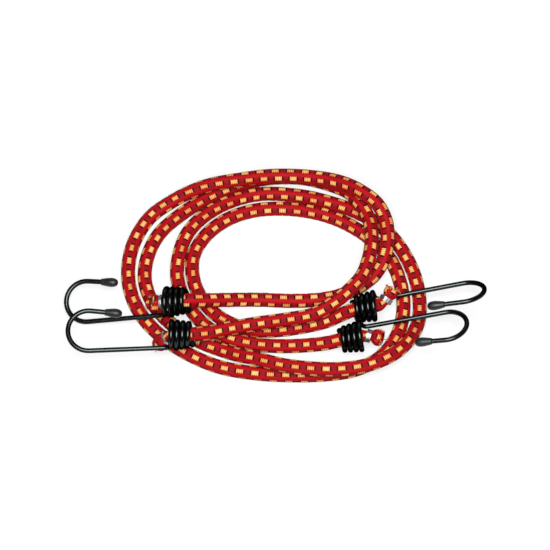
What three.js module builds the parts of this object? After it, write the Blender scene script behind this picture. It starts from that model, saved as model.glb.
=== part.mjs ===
// A pair of elastic luggage cords, laid together in one loose oval coil of two turns.
// Each cord is a braided sleeve over a rubber core, with a wire hook at both ends: the hook's
// wire is wound as a conical coil round the cord, and a crimp clip squeezes the cord's end so
// that the coil can't slip off. Millimetres, +Z up, the table at Z = 0.
import * as THREE from "three";

// Cord
const cordDiameter = 8;
const sleeveWall = 1.2;
const coreClearance = 0.3; // between the sleeve and the rubber core
const table = 0; // the sleeve is flat where it lies on the table
const cordSides = 8;
const cordStep = 16; // most distance between rings along the cord
const cordTurn = 17; // most degrees that the cord turns between rings
const ringStride = 0.5; // distance between the places tried for a ring
const lengthSteps = 4000; // steps in which a route's length is measured
const gapSpacing = 2; // distance between the points on which a cord's gap to itself is measured
const gapApart = 32; // length of cord that doesn't count as another stretch

// Cord ends: a flared stub, then the waist under the crimp clip
const stubLength = 6.5;
const stubDiameter = 9.2;
const stubShape = [[0, -0.6], [0.35, 0], [0.75, -0.5]]; // share of the stub's length, change of radius
const waistDiameter = 5.8;
const shoulderLength = 2.4; // from the waist back to the full diameter
const coreRecess = 0.6; // the core's cut face lies this far inside the sleeve's end

// Crimp clips
const clipWidth = 2.8;
const clipThickness = 0.9;
const clipClearance = 0.4;
const clipSides = 12;

// Hook wire
const wireDiameter = 2.6;
const wireSides = 6;
const coilTurns = 4;
const coilGap = 0.5; // between neighbouring turns
const coilClearance = 0.6; // between the cord and the coil's narrow end
const coilWideBore = 12.8;
const coilSeatGap = 0.4; // between the waist and the coil's wide end
const coilSteps = 8; // steps of one turn
const coilBend = 3.2; // radius of the bend from the coil into the shank
const bendSteps = 3;
const bowRadius = 11.4;
const bowLean = 8; // degrees that the tip arm leans towards the shank
const bowSteps = 10;

// Tip caps
const capLength = 9.5;
const capWall = 0.75;
const capBoreDepth = 6.5;
const capClearance = 0.3;
const capShape = [[0, -0.25], [0.3, -0.1], [0.65, 0], [0.88, -0.5], [0.98, -1.4]]; // as stubShape
const capSides = 10;

// Routes of the two cords, chosen point by point from the left end to the right end
const upperRoute = [
  [-72.5, -21.5, 13.6], [-67, -22, 14.4], [-61, -22, 15.3], [-55, -22, 16.2], [-47.5, -22, 16.9],
  [-39, -20.5, 14.2], [-29.5, -18, 10.2], [-19.5, -15.5, 6.2], [-7.5, -14, 3.5], [9.5, -14.5, 3.2],
  [26.5, -13.5, 3.2], [39, -10, 3.2], [48.5, -5, 4.2], [56.5, 1.5, 7], [61.2, 10, 10.9],
  [62.8, 20, 12.3], [62, 30.5, 14.6], [57, 39.5, 18.4], [48, 46.5, 20.2], [37.5, 54, 17],
  [22.5, 60, 12.6], [0, 61.5, 11.9], [-19, 59, 12], [-37, 55.5, 11.6], [-47.5, 52, 10],
  [-58, 48, 6], [-70, 39.5, 3.3], [-79, 23, 3.2], [-82, 6.5, 3.2], [-80.5, -9, 3.2],
  [-74.5, -23.5, 3.2], [-64.5, -36, 3.2], [-49, -48, 3.2], [-31.5, -56.5, 3.2], [-13, -60.5, 3.2],
  [6, -62, 3.2], [28, -61.5, 3.2], [44.5, -58.5, 3.2], [58, -51, 3.2], [67.5, -37.5, 3.2],
  [71.5, -20.5, 3.2], [70, -3.5, 3.2], [64.5, 12, 3.2], [53.5, 25.5, 3.2], [39, 36, 3.2],
  [24.5, 42, 3.2], [6.5, 45, 3.2], [-11, 44, 3.2], [-26, 38.5, 3.2], [-38.3, 28.2, 3.2],
  [-45.6, 14.5, 3.2], [-45.6, -0.5, 3.2], [-40.4, -14, 3.2], [-31, -25, 3.2], [-16, -32.5, 3.2],
  [-1.5, -33.5, 3.2], [13.5, -31.5, 3.2], [28, -28, 3.6], [36, -26, 7], [42, -25, 10.4],
  [48, -24, 12.2], [54, -23.2, 12.8], [57.5, -22.4, 13.1], [61.2, -20.2, 13.9], [63.9, -17, 15.1],
  [65.9, -13.4, 16.3],
];
const lowerRoute = [
  [-64.6, -45.7, 7], [-63.7, -45.3, 9.5], [-62.6, -44.9, 11.7], [-61, -44.6, 13.8], [-58.8, -44.4, 15.5],
  [-56, -44.3, 16.7], [-52.5, -44.2, 17.4], [-47.5, -44.2, 17.6], [-37.5, -41.8, 15.2], [-25.5, -37.5, 12.6], [-10, -34, 11.9], [6, -31.5, 12],
  [22, -28.5, 13], [32.5, -22.5, 14.6], [41.5, -14, 15], [48.5, -5, 15], [52.5, 7, 15],
  [54, 19.5, 14.2], [52.5, 33, 12.2], [48, 43, 12], [41.5, 52, 9.2], [30.5, 60, 4.8],
  [15.5, 65, 3.2], [-3, 65, 3.2], [-19, 61, 3.2], [-37, 52.5, 3.2], [-52.5, 41.5, 3.2],
  [-65, 28.5, 3.2], [-71.5, 13, 3.2], [-72.5, -2.5, 3.2], [-67.5, -17, 3.2], [-56.5, -30.5, 3.2],
  [-42, -40.5, 3.2], [-28.5, -46.5, 3.3], [-19.5, -51, 6], [-12.5, -54, 8.8], [-5.5, -57, 10.7],
  [5, -60.5, 11.8], [19.5, -62.5, 11.9], [34, -63, 11.9], [49, -61, 11.9], [62, -55.5, 11.6],
  [72, -45.5, 8.4], [79.5, -29, 3.4], [80.5, -14, 3.2], [77.5, 3, 3.2], [70, 20, 3.2],
  [60, 33, 3.2], [47.5, 42, 3.2], [29.5, 49.5, 3.2], [13, 53.5, 3.2], [-10, 54, 3.9],
  [-32.5, 43.5, 7.2], [-48, 28, 7.8], [-54, 10.5, 6.6], [-54, -4, 5], [-47, -20, 3.4],
  [-37, -32, 3.2], [-24, -39, 3.2], [-10, -42.5, 3.2], [5, -43.5, 3.2], [19, -43.5, 4.4],
  [29.5, -44, 7.8], [38.5, -43, 10.4], [47, -42, 11.8], [53.5, -42, 12.2], [60, -44, 12.2],
];

// How each hook lies: slack is how far it has slid from its clip, roll lifts its tip and droop
// lowers its bow (degrees)
const hookLays = {
  cord_a_left: { shankLength: 41.5, armLength: 7.5, slack: 0, roll: 22, droop: 3 },
  cord_a_right: { shankLength: 46.5, armLength: 10.5, slack: 3, roll: 34, droop: 2 },
  cord_b_left: { shankLength: 42, armLength: 8, slack: 0, roll: 16, droop: -5 },
  cord_b_right: { shankLength: 44, armLength: 7.5, slack: 0, roll: 19, droop: 0 },
};

// Sizes that follow from those above
const cordRadius = cordDiameter / 2;
const wireRadius = wireDiameter / 2;
const waistLength = clipWidth + 2 * clipClearance;
const waistFar = stubLength + waistLength;
const coilSeat = waistFar + coilSeatGap + wireRadius;
const coilPitch = wireDiameter + coilGap;
const coilLength = coilTurns * coilPitch;
const coilNarrowRadius = cordRadius + coilClearance + wireRadius;
const coilWideRadius = coilWideBore / 2 + wireRadius;
const capRadius = wireRadius + capClearance + capWall;
const up = new THREE.Vector3(0, 0, 1);
const degrees = Math.PI / 180;

const materials = {
  sleeve: new THREE.MeshStandardMaterial({ color: "#c8141e", roughness: 0.75, metalness: 0 }),
  rubber: new THREE.MeshStandardMaterial({ color: "#3a342c", roughness: 0.9, metalness: 0 }),
  wire: new THREE.MeshStandardMaterial({ color: "#121314", roughness: 0.25, metalness: 0.3 }),
  vinyl: new THREE.MeshStandardMaterial({ color: "#323637", roughness: 0.55, metalness: 0 }),
  steel: new THREE.MeshStandardMaterial({ color: "#c9ccce", roughness: 0.3, metalness: 1 }),
};

// Joins rings of points into one closed skin: an open run gets flat ends, a looped run none.
function skin(rings, looped) {
  const sides = rings[0].length;
  const positions = rings.flat().flatMap((p) => [p.x, p.y, p.z]);
  const index = [];
  const last = looped ? rings.length : rings.length - 1;
  for (let i = 0; i < last; i++) {
    const here = i * sides;
    const next = ((i + 1) % rings.length) * sides;
    for (let k = 0; k < sides; k++) {
      const k2 = (k + 1) % sides;
      index.push(here + k, next + k, next + k2, here + k, next + k2, here + k2);
    }
  }
  if (!looped) {
    const end = (rings.length - 1) * sides;
    for (let k = 1; k < sides - 1; k++) {
      index.push(0, k, k + 1, end, end + k + 1, end + k);
    }
  }
  const geometry = new THREE.BufferGeometry();
  geometry.setAttribute("position", new THREE.Float32BufferAttribute(positions, 3));
  geometry.setIndex(index);
  geometry.computeVertexNormals();
  return geometry;
}

function ring(centre, side, rise, radius, sides) {
  return Array.from({ length: sides }, (_, k) => {
    const angle = ((k + 0.5) / sides) * 2 * Math.PI;
    return centre
      .clone()
      .addScaledVector(side, radius * Math.cos(angle))
      .addScaledVector(rise, radius * Math.sin(angle));
  });
}

function makeMesh(name, geometry, material) {
  const mesh = new THREE.Mesh(geometry, material);
  mesh.name = name;
  return mesh;
}

// Cord

function routeCurve(points) {
  const route = points.map((p) => new THREE.Vector3(...p));
  const curve = new THREE.CatmullRomCurve3(route, false, "centripetal");
  curve.arcLengthDivisions = lengthSteps;
  return { curve, length: curve.getLength() };
}

function pointAt(cord, distance) {
  return cord.curve.getPointAt(distance / cord.length);
}

function tangentAt(cord, distance) {
  return cord.curve.getTangentAt(distance / cord.length);
}

function frameAt(cord, distance) {
  const tangent = tangentAt(cord, distance);
  const side = tangent.clone().cross(up).normalize();
  return { centre: pointAt(cord, distance), side, rise: side.clone().cross(tangent) };
}

// The sleeve's outline at one end, as [distance from the cut, radius].
const waistRadius = waistDiameter / 2;
const endProfile = [
  ...stubShape.map(([share, change]) => [share * stubLength, stubDiameter / 2 + change]),
  [stubLength, waistRadius],
  [waistFar, waistRadius],
  [waistFar + shoulderLength, cordRadius],
];

function cordStations(cord) {
  const endLength = endProfile.at(-1)[0];
  const middle = [];
  let from = endLength;
  for (let d = endLength; d < cord.length - endLength - cordRadius; d += ringStride) {
    const turned = tangentAt(cord, from).angleTo(tangentAt(cord, d)) / degrees;
    if (d - from >= cordStep || turned >= cordTurn) {
      middle.push([d, cordRadius]);
      from = d;
    }
  }
  const farEnd = endProfile.map(([d, r]) => [cord.length - d, r]).reverse();
  return [...endProfile, ...middle, ...farEnd];
}

function sleeveGeometry(cord) {
  const stations = cordStations(cord).map(([d, r]) => ({ ...frameAt(cord, d), radius: r }));
  const outer = stations.map((s) => {
    const points = ring(s.centre, s.side, s.rise, s.radius, cordSides);
    points.forEach((p) => (p.z = Math.max(p.z, table)));
    return points;
  });
  const bore = stations.map((s) => ring(s.centre, s.side, s.rise, s.radius - sleeveWall, cordSides));
  return skin([...outer, ...bore.reverse()], true);
}

function coreGeometry(cord) {
  const shrink = sleeveWall + coreClearance;
  const rings = cordStations(cord).map(([d, r]) => {
    const inside = Math.min(Math.max(d, coreRecess), cord.length - coreRecess);
    const s = frameAt(cord, inside);
    return ring(s.centre, s.side, s.rise, r - shrink, cordSides);
  });
  return skin(rings, false);
}

// The least space between two stretches of one cord, measured on points of its centre line.
function leastCordGap(cord) {
  const points = cord.curve.getSpacedPoints(Math.round(cord.length / gapSpacing));
  const skip = Math.ceil(gapApart / gapSpacing);
  let least = Infinity;
  points.forEach((p, i) => {
    points.slice(i + skip).forEach((q) => (least = Math.min(least, p.distanceTo(q))));
  });
  return least - cordDiameter;
}

// Crimp clip: a band round the waist

function clipGeometry() {
  const inner = waistRadius + clipClearance;
  const outer = inner + clipThickness;
  const half = clipWidth / 2;
  const profile = [
    [inner, -half],
    [outer, -half],
    [outer, half],
    [inner, half],
    [inner, -half],
  ].map(([r, h]) => new THREE.Vector2(r, h));
  return new THREE.LatheGeometry(profile, clipSides);
}

function makeClip(name, cord, waistStart, waistEnd) {
  const clip = makeMesh(name, clipGeometry(), materials.steel);
  const start = pointAt(cord, waistStart);
  const end = pointAt(cord, waistEnd);
  clip.position.copy(start).lerp(end, 0.5);
  clip.quaternion.setFromUnitVectors(new THREE.Vector3(0, 1, 0), end.sub(start).normalize());
  return clip;
}

// Hook, drawn along +X from its coil's wide end, with its tip on the +Y side

function hookPath(lay) {
  const points = [];
  const meanOut = 2 / (1 + Math.cos(Math.PI / coilSteps)); // keeps the faceted turns at their mean radius
  const bendAngle = Math.asin(coilBend / coilWideRadius);
  const shankY = -coilWideRadius * Math.cos(bendAngle);
  const coilPoints = coilTurns * coilSteps;
  for (let i = 0; i <= coilPoints; i++) {
    const share = i / coilPoints;
    const angle = bendAngle + (1 - share) * coilTurns * 2 * Math.PI;
    const radius = (coilNarrowRadius + share * (coilWideRadius - coilNarrowRadius)) * meanOut;
    points.push(
      new THREE.Vector3(
        (share - 1) * coilLength,
        -radius * Math.cos(angle),
        -radius * Math.sin(angle),
      ),
    );
  }
  for (let i = 1; i <= bendSteps; i++) {
    const turned = ((i / bendSteps) * Math.PI) / 2;
    const x = coilBend * (1 - Math.cos(turned));
    points.push(new THREE.Vector3(x, shankY, coilBend * (Math.sin(turned) - 1)));
  }
  const bowX = coilBend + lay.shankLength;
  for (let i = 0; i <= bowSteps; i++) {
    const angle = (-90 + (i / bowSteps) * (180 + bowLean)) * degrees;
    points.push(
      new THREE.Vector3(
        bowX + bowRadius * Math.cos(angle),
        shankY + bowRadius * (1 + Math.sin(angle)),
        0,
      ),
    );
  }
  const leaned = (180 + bowLean) * degrees;
  const armDirection = new THREE.Vector3(Math.cos(leaned), Math.sin(leaned), 0);
  const capStart = points.at(-1).clone().addScaledVector(armDirection, lay.armLength);
  points.push(capStart.clone().addScaledVector(armDirection, capBoreDepth - capClearance));
  return { points, capStart, armDirection };
}

function wireGeometry(points) {
  const directions = points.slice(1).map((p, i) => p.clone().sub(points[i]).normalize());
  const tangents = points.map((_, i) => {
    const before = directions[Math.max(i - 1, 0)];
    const after = directions[Math.min(i, directions.length - 1)];
    return before.clone().add(after).normalize();
  });
  let rise = new THREE.Vector3(0, 0, 1);
  const rings = points.map((p, i) => {
    const side = tangents[i].clone().cross(rise).normalize();
    rise = side.clone().cross(tangents[i]);
    return ring(p, side, rise, wireRadius, wireSides);
  });
  return skin(rings, false);
}

// The least space between neighbouring turns of the coil, measured on points of the wire's centre line.
function leastCoilGap(points) {
  const turns = points.slice(0, coilTurns * coilSteps + 1);
  let least = Infinity;
  turns.forEach((p, i) => {
    turns.slice(i + coilSteps - 1).forEach((q) => (least = Math.min(least, p.distanceTo(q))));
  });
  return least - wireDiameter;
}

// A droplet-shaped sleeve with a blind bore for the wire's end.
function capGeometry() {
  const bore = wireRadius + capClearance;
  const profile = [
    [0, capBoreDepth],
    [bore, capBoreDepth],
    [bore, 0],
    ...capShape.map(([share, change]) => [capRadius + change, share * capLength]),
    [0, capLength],
  ].map(([r, h]) => new THREE.Vector2(r, h));
  return new THREE.LatheGeometry(profile, capSides);
}

// The hook's frame on its cord: the coil's axis runs from its narrow end to its wide end.
function hookFrame(cord, atStart, lay) {
  const along = (d) => pointAt(cord, atStart ? d : cord.length - d);
  const seat = coilSeat + lay.slack;
  const narrow = along(seat + coilLength);
  const wide = along(seat);
  const axis = wide.clone().sub(narrow).normalize();
  const across = up.clone().cross(axis).normalize().negate();
  axis.applyAxisAngle(across, -lay.droop * degrees);
  const level = up.clone().cross(axis).normalize().negate();
  const tip = level.applyAxisAngle(axis, -lay.roll * degrees);
  const frame = new THREE.Matrix4().makeBasis(axis, tip, axis.clone().cross(tip));
  return frame.setPosition(narrow.addScaledVector(axis, coilLength));
}

function makeHook(name, cord, atStart) {
  const lay = hookLays[name];
  const hook = new THREE.Group();
  const { points, capStart, armDirection } = hookPath(lay);
  const cap = makeMesh(name + "_tip_cap", capGeometry(), materials.vinyl);
  cap.position.copy(capStart);
  cap.quaternion.setFromUnitVectors(new THREE.Vector3(0, 1, 0), armDirection);
  hook.add(makeMesh(name + "_hook", wireGeometry(points), materials.wire), cap);
  hook.applyMatrix4(hookFrame(cord, atStart, lay));
  console.log(name + " coil: least gap between turns " + leastCoilGap(points).toFixed(2) + " mm");
  return hook;
}

function makeCord(name, route) {
  const cord = routeCurve(route);
  const group = new THREE.Group();
  group.add(
    makeMesh(name + "_sleeve", sleeveGeometry(cord), materials.sleeve),
    makeMesh(name + "_core", coreGeometry(cord), materials.rubber),
    makeClip(name + "_left_crimp_clip", cord, stubLength, waistFar),
    makeClip(name + "_right_crimp_clip", cord, cord.length - waistFar, cord.length - stubLength),
    makeHook(name + "_left", cord, true),
    makeHook(name + "_right", cord, false),
  );
  const gap = leastCordGap(cord).toFixed(2);
  console.log(name + ": " + cord.length.toFixed(0) + " mm long, least gap to itself " + gap + " mm");
  return group;
}

const pair = new THREE.Group();
pair.add(makeCord("cord_a", upperRoute), makeCord("cord_b", lowerRoute));

// The origin lies on the table, under the middle of the pair.
const middle = new THREE.Box3().setFromObject(pair, true).getCenter(new THREE.Vector3());
pair.position.set(-middle.x, -middle.y, -table);

export default pair;
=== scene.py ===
import math

import bpy
import numpy as np
from mathutils import Matrix, Vector


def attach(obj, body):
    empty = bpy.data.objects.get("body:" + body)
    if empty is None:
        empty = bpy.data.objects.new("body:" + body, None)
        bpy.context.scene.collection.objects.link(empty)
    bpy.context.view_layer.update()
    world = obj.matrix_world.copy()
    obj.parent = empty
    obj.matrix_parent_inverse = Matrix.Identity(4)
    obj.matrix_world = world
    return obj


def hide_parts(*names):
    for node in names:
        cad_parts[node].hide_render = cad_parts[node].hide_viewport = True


mm = 0.001
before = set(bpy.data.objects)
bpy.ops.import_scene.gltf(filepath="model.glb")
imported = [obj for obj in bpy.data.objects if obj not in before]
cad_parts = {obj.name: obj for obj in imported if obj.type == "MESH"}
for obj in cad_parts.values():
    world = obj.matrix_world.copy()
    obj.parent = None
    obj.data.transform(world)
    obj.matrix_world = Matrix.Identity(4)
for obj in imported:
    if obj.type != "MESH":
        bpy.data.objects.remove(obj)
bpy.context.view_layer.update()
scene = bpy.context.scene


# Shared helpers
def unit(vectors):
    return vectors / np.linalg.norm(vectors, axis=-1, keepdims=True)


def lengthsTo(points):  # along the line through the points, up to each of them
    return np.concatenate([[0], np.cumsum(np.linalg.norm(np.diff(points, axis=0), axis=1))])


def eased(values, steps):  # a running mean over so many steps, in which the middle weighs most
    weights = np.hanning(steps + 2)[1:-1]
    padded = np.pad(values, (steps // 2, (steps - 1) // 2), "edge")
    return np.convolve(padded, weights / weights.sum(), "valid")


def around(angle, side, rise):  # the direction at an angle from side towards rise
    angle = np.asarray(angle)[..., None]
    return np.cos(angle) * side + np.sin(angle) * rise


def towards(degrees):  # the direction so many degrees up from the camera's side, and on over the top
    rise = math.radians(degrees)
    return np.array([0, -math.cos(rise), math.sin(rise)])


def aim(thing, degrees, distance, lookAt=(0, 0, 0)):  # a camera or lamp, back from the point it looks at
    back = Vector(towards(degrees))
    thing.location = Vector(lookAt) * mm + back * distance
    thing.rotation_euler = (-back).to_track_quat("-Z", "Y").to_euler()


def linear(hexColour):
    channels = [int(hexColour[i:i + 2], 16) / 255 for i in (1, 3, 5)]
    return [c / 12.92 if c <= 0.04045 else ((c + 0.055) / 1.055) ** 2.4 for c in channels] + [1.0]


def addNode(tree, kind, inputs=(), out=0, **settings):
    node = tree.nodes.new(kind)
    for name, value in settings.items():
        setattr(node, name, value)
    for socket, value in inputs.items() if isinstance(inputs, dict) else enumerate(inputs):
        if isinstance(value, bpy.types.NodeSocket):
            tree.links.new(value, node.inputs[socket])
        else:
            node.inputs[socket].default_value = value
    return node.outputs[out] if len(node.outputs) else node


def newMaterial(name):
    material = bpy.data.materials.new(name)
    material.use_nodes = True
    material.node_tree.nodes.clear()
    return material, material.node_tree


def newObject(name, data, material=None):
    made = bpy.data.objects.new(name, data)
    scene.collection.objects.link(made)
    if material:
        data.materials.append(material)
    return made


def gridFaces(rings, sides):  # quads between rings that close round on themselves
    here = np.arange(rings - 1)[:, None] * sides + np.arange(sides)
    turned = np.arange(rings - 1)[:, None] * sides + (np.arange(sides) + 1) % sides
    return np.stack([here, here + sides, turned + sides, turned], axis=-1).reshape(-1, 4)


def closedFaces(rings, sides):  # the same quads, and a face over each end
    last = (rings - 1) * sides
    ends = [list(range(sides)), list(range(last + sides - 1, last - 1, -1))]
    return gridFaces(rings, sides).tolist() + ends


def lathe(rings, sides):  # rings of (radius, height) round the Z axis
    angle = np.arange(sides) / sides * 2 * np.pi
    radius, height = np.array(rings, float).T[..., None]
    return np.stack([radius * np.cos(angle), radius * np.sin(angle), height + 0 * angle], axis=-1)


def smoothPiece(name, points, faces, material=None):
    mesh = bpy.data.meshes.new(name)
    mesh.from_pydata(np.asarray(points).reshape(-1, 3).tolist(), [], [list(map(int, f)) for f in faces])
    mesh.polygons.foreach_set("use_smooth", [True] * len(mesh.polygons))
    mesh.update()
    return newObject(name, mesh, material)


# A finish with speckles in its colour and roughness, over a grain in relief. Speckle and grain are
# (waves per mm, detail), spread is the part of the speckles between the two colours, and relief is
# (strength, mm)
def speckledFinish(name, finish):
    material, tree = newMaterial(name)
    place = addNode(tree, "ShaderNodeTexCoord", out="Object")
    speckle, grain = (
        addNode(tree, "ShaderNodeTexNoise", {"Vector": place, "Scale": waves / mm, "Detail": detail})
        for waves, detail in (finish["speckle"], finish["grain"]))
    deep, pale = map(linear, finish["colours"])
    tone = addNode(tree, "ShaderNodeMapRange", [speckle, *finish.get("spread", (0.0, 1.0)), 0.0, 1.0])
    colour = addNode(tree, "ShaderNodeMix", {0: tone, 6: deep, 7: pale}, out=2, data_type="RGBA")
    roughness = addNode(tree, "ShaderNodeMapRange", [speckle, 0.3, 0.7, *finish["roughness"]])
    strength, height = finish["relief"]
    bump = addNode(tree, "ShaderNodeBump", {"Strength": strength, "Distance": height * mm, "Height": grain})
    shader = addNode(tree, "ShaderNodeBsdfPrincipled", {
        "Base Color": colour, "Roughness": roughness, "Normal": bump, **finish["shader"]})
    addNode(tree, "ShaderNodeOutputMaterial", {"Surface": shader})
    return material


# A geometry tree with named inputs, the identifiers of these, and the sockets inside that give them
def newTree(name, inputs, output):
    tree = bpy.data.node_groups.new(name, "GeometryNodeTree")
    identifiers = {
        label: tree.interface.new_socket(label, in_out="INPUT", socket_type="NodeSocket" + kind).identifier
        for label, kind in inputs.items()}
    tree.interface.new_socket(output, in_out="OUTPUT", socket_type="NodeSocketGeometry")
    return tree, identifiers, addNode(tree, "NodeGroupInput").node.outputs


def closeTree(tree, geometry, finish, output):
    real = addNode(tree, "GeometryNodeRealizeInstances", {"Geometry": geometry})
    finished = addNode(tree, "GeometryNodeSetMaterial", {"Geometry": real, "Material": finish})
    addNode(tree, "NodeGroupOutput", {output: finished})


# What a tree makes of a curve or mesh, as a plain mesh of its own
def bakedNodes(name, data, tree, identifiers, values):
    source = newObject(data.name, data)
    modifier = source.modifiers.new(tree.name, "NODES")
    modifier.node_group = tree
    for label, value in values.items():
        modifier[identifiers[label]] = value
    graph = bpy.context.evaluated_depsgraph_get()
    mesh = bpy.data.meshes.new_from_object(source.evaluated_get(graph), depsgraph=graph)
    mesh.name = name
    bpy.data.objects.remove(source)
    return newObject(name, mesh)


# Camera: a far lens, looking down on the cords from the side of the hooks
photo = {
    "pixels": 550,
    "mmPerPixel": 0.559,
    "elevation": 60,  # degrees above the table
    "lookAt": (-0.09, 2.75, 0),  # mm
    "lens": 500,
    "sensor": 36,
}


def makeCamera():
    data = bpy.data.cameras.new("photoCamera")
    data.lens = photo["lens"]
    data.sensor_width = photo["sensor"]
    distance = photo["pixels"] * photo["mmPerPixel"] * mm * photo["lens"] / photo["sensor"]
    scene.camera = newObject("photoCamera", data)
    aim(scene.camera, photo["elevation"], distance, photo["lookAt"])
    data.clip_end = 3 * distance
    print("camera:", round(distance, 2), "m away")


makeCamera()

# Routes of the two cords, in mm, from the left end to the right end
bundle = {
    "shift": (-0.0875, -1.2458, 0),  # puts the origin under the middle of the pair
    "samples": 40,  # of each stretch between two route points
    "reach": 0.4,  # mm to each side, over which a direction is taken
    "diameter": 8,  # mm, of a cord
    "lying": 3.2,  # mm, the height of a route point that names none
}
upperRoute = [
    (-72.5, -21.5, 13.6), (-67, -22, 14.4), (-61, -22, 15.3), (-55, -22, 16.2), (-47.5, -22, 16.9),
    (-39, -20.5, 14.2), (-29.5, -18, 10.2), (-19.5, -15.5, 6.2), (-7.5, -14, 3.5), (9.5, -14.5),
    (26.5, -13.5), (39, -10), (48.5, -5, 4.2), (56.5, 1.5, 7), (61.2, 10, 10.9), (62.8, 20, 12.3),
    (62, 30.5, 14.6), (57, 39.5, 18.4), (48, 46.5, 20.2), (37.5, 54, 17), (22.5, 60, 12.6),
    (0, 61.5, 11.9), (-19, 59, 12), (-37, 55.5, 11.6), (-47.5, 52, 10), (-58, 48, 6), (-70, 39.5, 3.3),
    (-79, 23), (-82, 6.5), (-80.5, -9), (-74.5, -23.5), (-64.5, -36), (-49, -48), (-31.5, -56.5),
    (-13, -60.5), (6, -62), (28, -61.5), (44.5, -58.5), (58, -51), (67.5, -37.5), (71.5, -20.5),
    (70, -3.5), (64.5, 12), (53.5, 25.5), (39, 36), (24.5, 42), (6.5, 45), (-11, 44), (-26, 38.5),
    (-38.3, 28.2), (-45.6, 14.5), (-45.6, -0.5), (-40.4, -14), (-31, -25), (-16, -32.5), (-1.5, -33.5),
    (13.5, -31.5), (28, -28, 3.6), (36, -26, 7), (42, -25, 10.4), (48, -24, 12.2), (54, -23.2, 12.8),
    (57.5, -22.4, 13.1), (61.2, -20.2, 13.9), (63.9, -17, 15.1), (65.9, -13.4, 16.3),
]
lowerRoute = [
    (-64.6, -45.7, 7), (-63.7, -45.3, 9.5), (-62.6, -44.9, 11.7), (-61, -44.6, 13.8),
    (-58.8, -44.4, 15.5), (-56, -44.3, 16.7), (-52.5, -44.2, 17.4), (-47.5, -44.2, 17.6),
    (-37.5, -41.8, 15.2), (-25.5, -37.5, 12.6), (-10, -34, 11.9), (6, -31.5, 12), (22, -28.5, 13),
    (32.5, -22.5, 14.6), (41.5, -14, 15), (48.5, -5, 15), (52.5, 7, 15), (54, 19.5, 14.2),
    (52.5, 33, 12.2), (48, 43, 12), (41.5, 52, 9.2), (30.5, 60, 4.8), (15.5, 65), (-3, 65), (-19, 61),
    (-37, 52.5), (-52.5, 41.5), (-65, 28.5), (-71.5, 13), (-72.5, -2.5), (-67.5, -17), (-56.5, -30.5),
    (-42, -40.5), (-28.5, -46.5, 3.3), (-19.5, -51, 6), (-12.5, -54, 8.8), (-5.5, -57, 10.7),
    (5, -60.5, 11.8), (19.5, -62.5, 11.9), (34, -63, 11.9), (49, -61, 11.9), (62, -55.5, 11.6),
    (72, -45.5, 8.4), (79.5, -29, 3.4), (80.5, -14), (77.5, 3), (70, 20), (60, 33), (47.5, 42),
    (29.5, 49.5), (13, 53.5), (-10, 54, 3.9), (-32.5, 43.5, 7.2), (-48, 28, 7.8), (-54, 10.5, 6.6),
    (-54, -4, 5), (-47, -20, 3.4), (-37, -32), (-24, -39), (-10, -42.5), (5, -43.5), (19, -43.5, 4.4),
    (29.5, -44, 7.8), (38.5, -43, 10.4), (47, -42, 11.8), (53.5, -42, 12.2), (60, -44, 12.2),
]


# A centripetal Catmull-Rom curve through a route, measured by the length along it
class CordLine:
    def __init__(self, route):
        points = (np.array([(*p, bundle["lying"])[:3] for p in route]) + bundle["shift"]) * mm
        points = np.vstack([2 * points[0] - points[1], points, 2 * points[-1] - points[-2]])
        share = np.linspace(0, 1, bundle["samples"], endpoint=False)[:, None]
        runs = [self.stretch(points[i:i + 4], share) for i in range(len(points) - 3)]
        self.points = np.vstack([*runs, points[-2]])
        self.distances = lengthsTo(self.points)
        self.length = self.distances[-1]

    def stretch(self, p, t):
        d0, d1, d2 = np.sqrt(np.linalg.norm(np.diff(p, axis=0), axis=1))
        m1 = ((p[1] - p[0]) / d0 - (p[2] - p[0]) / (d0 + d1) + (p[2] - p[1]) / d1) * d1
        m2 = ((p[2] - p[1]) / d1 - (p[3] - p[1]) / (d1 + d2) + (p[3] - p[2]) / d2) * d1
        bend = 2 * p[1] - 2 * p[2] + m1 + m2
        return p[1] + m1 * t + (-3 * p[1] + 3 * p[2] - 2 * m1 - m2) * t ** 2 + bend * t ** 3

    def at(self, distance):
        return np.stack([np.interp(distance, self.distances, c) for c in self.points.T], axis=-1)

    def frames(self, distance):  # centre, side and rise at each distance
        reach = bundle["reach"] * mm
        ahead = self.at(np.minimum(distance + reach, self.length))
        behind = self.at(np.maximum(distance - reach, 0))
        tangent = unit(ahead - behind)
        side = unit(np.cross(tangent, [0, 0, 1]))
        return self.at(distance), side, np.cross(side, tangent)


cordLines = {"cord_a": CordLine(upperRoute), "cord_b": CordLine(lowerRoute)}
for cordName, line in cordLines.items():
    print(cordName, "is", round(line.length / mm), "mm long")
cordEnds = [(cordName + "_" + end, line, end == "left") for cordName, line in cordLines.items()
            for end in ("left", "right")]


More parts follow.
